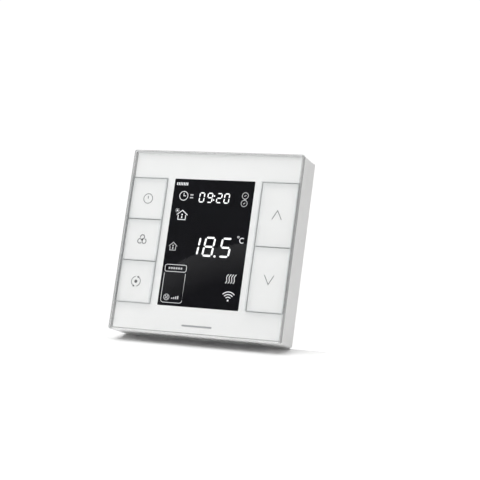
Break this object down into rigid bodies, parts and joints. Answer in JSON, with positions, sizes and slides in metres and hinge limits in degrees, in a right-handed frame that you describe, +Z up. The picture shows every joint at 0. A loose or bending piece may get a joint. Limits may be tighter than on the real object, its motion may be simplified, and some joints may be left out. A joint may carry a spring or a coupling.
{
  "type": "wall thermostat",
  "caption": "Square wall thermostat with a central dark display between two columns of push keys, a clear front panel, a pull-off front unit and a screwed base with an in-wall box.",
  "frame": {"origin": "centre of the base's rear face, on the wall plane", "axes": "+Z up, +X to the right seen from the front, +Y into the wall; the front faces -Y"},
  "size_m": [0.086, 0.042, 0.086],
  "materials": {
    "clear_acrylic": "clear, polished, with a small bevel",
    "white_print": "white back print seen through the clear panel",
    "housing_white": "fine matte moulded plastic, pale grey-white",
    "key_white": "white moulded plastic under a clear cap",
    "lcd_glass": "dark negative display",
    "polariser": "dark satin film",
    "backlight_white": "white light box",
    "elastomer": "banded grey contact strip",
    "frame_white": "moulded",
    "board_green": "solder mask with copper tracks",
    "zinc_steel": "zinc plated",
    "switch_black": "moulded",
    "switch_steel": "stamped plate",
    "chip_black": "moulded chip package",
    "radio_can": "pressed screening can",
    "crystal_can": "drawn metal can",
    "cell_steel": "coin cell can",
    "holder_black": "moulded",
    "chip_ceramic": "small ceramic chips with tinned ends",
    "bead_glass": "glass bead on tinned leads",
    "socket_black": "moulded",
    "base_white": "moulded, slightly greyer than the front",
    "spring_steel": "bent spring strip",
    "cover_white": "moulded",
    "transformer_yellow": "tape-wrapped winding on a dark core",
    "relay_blue": "moulded case",
    "fuse_glass": "glass tube with plated caps",
    "varistor_blue": "dipped epoxy disc",
    "capacitor_black": "sleeved cans and a film block",
    "pin_brass": "gilt square pins",
    "terminal_green": "moulded block",
    "plunger_black": "moulded"
  },
  "bodies": {
    "base": {"base_plate": "base_white", "in_wall_box": "base_white", "retaining_clips": "spring_steel", "box_cover": "cover_white", "cover_screws": "zinc_steel", "power_board": "board_green", "transformer": "transformer_yellow", "relay": "relay_blue", "fuse_link": "fuse_glass", "varistor": "varistor_blue", "capacitors": "capacitor_black", "link_header": "socket_black", "link_pins": "pin_brass", "terminal_block": "terminal_green", "terminal_clamps": "zinc_steel", "terminal_screws": "zinc_steel"},
    "front_unit": {"face_panel": "clear_acrylic", "face_print": "white_print", "front_housing": "housing_white", "lcd_glass": "lcd_glass", "lcd_polarisers": "polariser", "lcd_backlight": "backlight_white", "lcd_contact_strip": "elastomer", "lcd_frame": "frame_white", "control_board": "board_green", "board_screws": "zinc_steel", "switch_bodies": "switch_black", "switch_plates": "switch_steel", "controller_chip": "chip_black", "radio_module": "radio_can", "crystal": "crystal_can", "backup_cell": "cell_steel", "cell_holder": "holder_black", "small_parts": "chip_ceramic", "temperature_sensor": "bead_glass", "link_socket": "socket_black"},
    "key_power": {"key_power_cap": "clear_acrylic", "key_power_carrier": "key_white", "key_power_plunger": "plunger_black"},
    "key_fan": {"key_fan_cap": "clear_acrylic", "key_fan_carrier": "key_white", "key_fan_plunger": "plunger_black"},
    "key_mode": {"key_mode_cap": "clear_acrylic", "key_mode_carrier": "key_white", "key_mode_plunger": "plunger_black"},
    "key_up": {"key_up_cap": "clear_acrylic", "key_up_carrier": "key_white", "key_up_plunger": "plunger_black"},
    "key_down": {"key_down_cap": "clear_acrylic", "key_down_carrier": "key_white", "key_down_plunger": "plunger_black"}
  },
  "joints": [
    {"name": "front_unit_pull", "type": "slide", "parent": "base", "child": "front_unit", "axis": [0, -1, 0], "range_m": [0, 0.03], "deforming": ["retaining_clips"]},
    {"name": "key_power_press", "type": "slide", "parent": "front_unit", "child": "key_power", "axis": [0, 1, 0], "range_m": [0, 0.0005], "stiffness_N_per_m": 2500, "springref_m": -0.0003},
    {"name": "key_fan_press", "type": "slide", "parent": "front_unit", "child": "key_fan", "axis": [0, 1, 0], "range_m": [0, 0.0005], "stiffness_N_per_m": 2500, "springref_m": -0.0003},
    {"name": "key_mode_press", "type": "slide", "parent": "front_unit", "child": "key_mode", "axis": [0, 1, 0], "range_m": [0, 0.0005], "stiffness_N_per_m": 2500, "springref_m": -0.0003},
    {"name": "key_up_press", "type": "slide", "parent": "front_unit", "child": "key_up", "axis": [0, 1, 0], "range_m": [0, 0.0005], "stiffness_N_per_m": 2500, "springref_m": -0.0003},
    {"name": "key_down_press", "type": "slide", "parent": "front_unit", "child": "key_down", "axis": [0, 1, 0], "range_m": [0, 0.0005], "stiffness_N_per_m": 2500, "springref_m": -0.0003}
  ]
}
